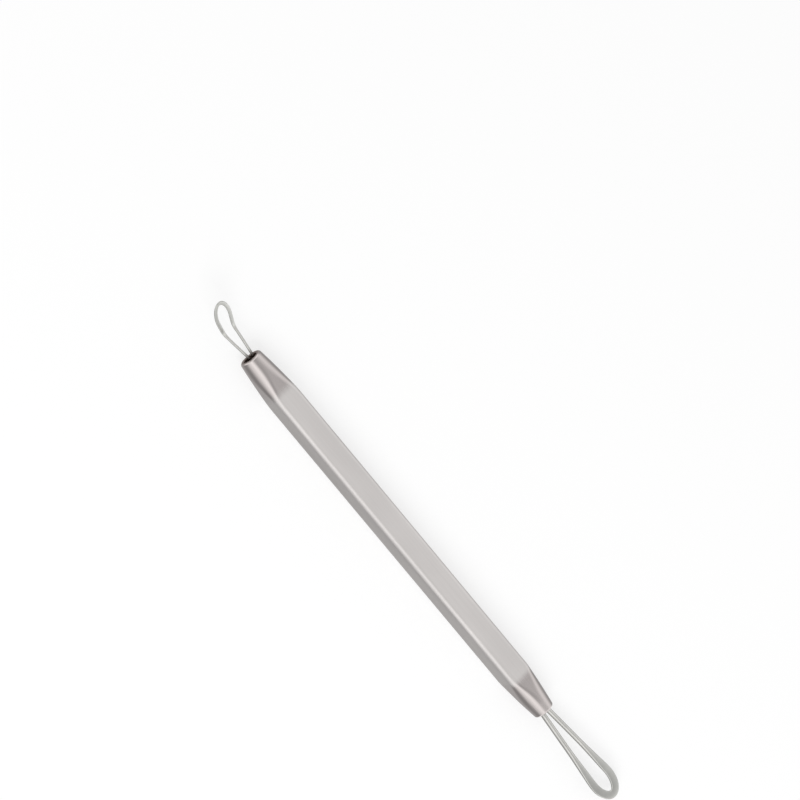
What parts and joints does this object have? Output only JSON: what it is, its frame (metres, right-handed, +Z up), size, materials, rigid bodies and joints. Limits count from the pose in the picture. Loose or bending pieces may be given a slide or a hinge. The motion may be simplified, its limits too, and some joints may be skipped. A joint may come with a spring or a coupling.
{
  "type": "blackhead extractor",
  "caption": "Slim steel hand tool: a hollow square handle drawn down to a round rim at both ends, with a small bent wire loop at one end and a long straight wire loop at the other.",
  "frame": {"origin": "centre of the bounding box along X and Y, at the height of the handle's lower flat, on which the tool rests", "axes": "+X along the handle toward the large loop, +Z up out of the pressed flat that the small loop bends toward, +Y across the handle"},
  "size_m": [0.1202, 0.0056, 0.0078],
  "materials": {
    "satin_steel": "satin along the flats, polished toward the rims",
    "wire_steel": "drawn wire, polished",
    "braze": "dark, dull"
  },
  "bodies": {
    "root": {"handle_tube": "satin_steel", "small_braze": "braze", "large_braze": "braze", "small_loop": "wire_steel", "large_loop": "wire_steel"}
  },
  "joints": []
}
